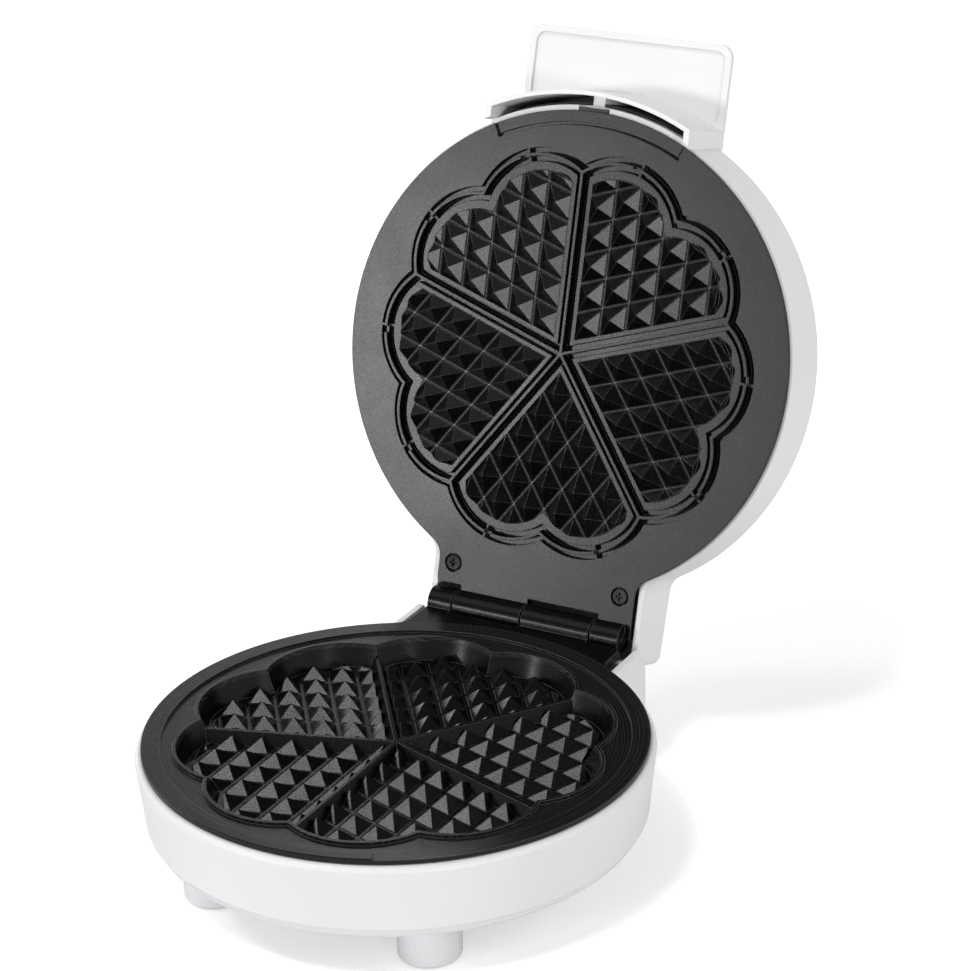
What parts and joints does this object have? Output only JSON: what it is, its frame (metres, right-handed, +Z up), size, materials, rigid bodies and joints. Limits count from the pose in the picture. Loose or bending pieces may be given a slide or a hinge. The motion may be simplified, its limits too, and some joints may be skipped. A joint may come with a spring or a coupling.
{
  "type": "electric heart waffle maker",
  "caption": "Round electric waffle maker with a white plastic housing, a lid on a cast rear hinge and black coated plates with heart-shaped pans of pyramids; stands open on short feet.",
  "frame": {"origin": "on the surface the feet stand on, in the middle of the bounding box of the open appliance", "axes": "+X along the hinge, to the right seen from the front; +Y from the front to the hinge and the open lid; +Z up"},
  "size_m": [0.1938, 0.2976, 0.2664],
  "materials": {
    "white_housing": "white moulded plastic, satin gloss",
    "white_cover": "white moulded plastic, fine matt",
    "pad_rubber": "soft grey rubber",
    "coated_plate": "die-cast aluminium with black non-stick coating",
    "bright_steel": "zinc-plated steel",
    "black_screws": "blackened steel",
    "heater_sheath": "drawn steel sheath, dull",
    "reflector_sheet": "aluminised sheet",
    "thermostat_body": "plain cap on a ceramic body",
    "fuse_sleeve": "woven glass sleeve",
    "block_plastic": "natural heat-resistant moulding",
    "red_lens": "clear red moulding",
    "green_lens": "clear green moulding",
    "black_guard": "black heat-resistant moulding",
    "lamp_glass": "clear glass"
  },
  "bodies": {
    "base": {"base_shell": "white_housing", "bottom_cover": "white_cover", "front_feet": "white_cover", "rear_feet": "white_cover", "foot_pads": "pad_rubber", "foot_screws": "bright_steel", "lower_plate": "coated_plate", "lower_plate_screws": "bright_steel", "lower_heater": "heater_sheath", "lower_reflector": "reflector_sheet", "lower_reflector_screws": "bright_steel", "thermostat": "thermostat_body", "thermostat_screws": "bright_steel", "thermal_fuse": "fuse_sleeve", "fuse_clip": "reflector_sheet", "terminal_block": "block_plastic", "hinge_pin": "bright_steel"},
    "lid": {"lid_shell": "white_housing", "lip_guard": "black_guard", "upper_plate": "coated_plate", "upper_plate_screws": "black_screws", "upper_heater": "heater_sheath", "upper_reflector": "reflector_sheet", "upper_reflector_screws": "bright_steel", "power_lens": "red_lens", "ready_lens": "green_lens", "lamp_holder": "block_plastic", "lamps": "lamp_glass"}
  },
  "joints": [
    {"name": "lid_hinge", "type": "hinge", "parent": "base", "child": "lid", "pos_m": [0, 0.05412, 0.05085], "axis": [1, 0, 0], "range_deg": [0, 106.4]}
  ]
}
